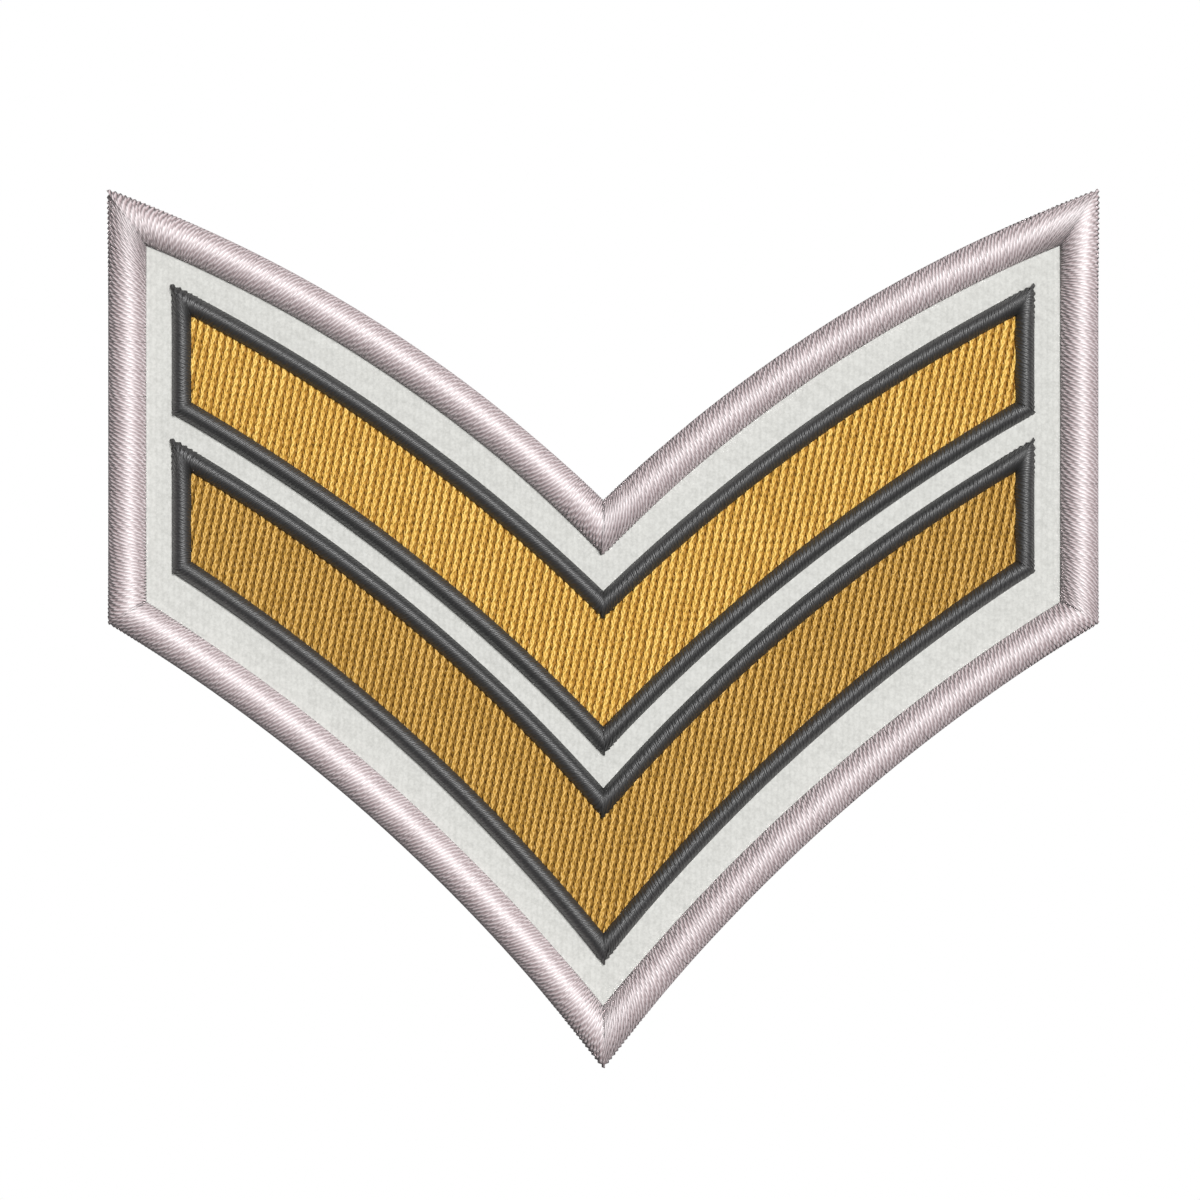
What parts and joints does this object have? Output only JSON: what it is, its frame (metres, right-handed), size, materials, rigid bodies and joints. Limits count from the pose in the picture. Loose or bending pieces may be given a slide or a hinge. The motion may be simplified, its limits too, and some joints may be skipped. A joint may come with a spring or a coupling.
{
  "type": "chevron rank badge",
  "caption": "Embroidered chevron rank badge: gold bars with black outlines on light cloth with a white stitched edge.",
  "frame": {"origin": "centre of the badge's outline, on the surface it lies on", "axes": "+Z out of the stitched face, +Y towards the open side of the chevron, +X to the right"},
  "size_m": [0.0988, 0.0878, 0.0028],
  "materials": {
    "ground_cloth": "matt light grey twill",
    "border_thread": "white embroidery thread with a sheen",
    "upper_gold_thread": "gold embroidery thread with a sheen",
    "lower_gold_thread": "darker gold embroidery thread with a sheen",
    "black_thread": "black embroidery thread with a sheen"
  },
  "bodies": {
    "root": {"ground_cloth": "ground_cloth", "border": "border_thread", "upper_bar_fill": "upper_gold_thread", "upper_bar_outline": "black_thread", "lower_bar_fill": "lower_gold_thread", "lower_bar_outline": "black_thread"}
  },
  "joints": []
}
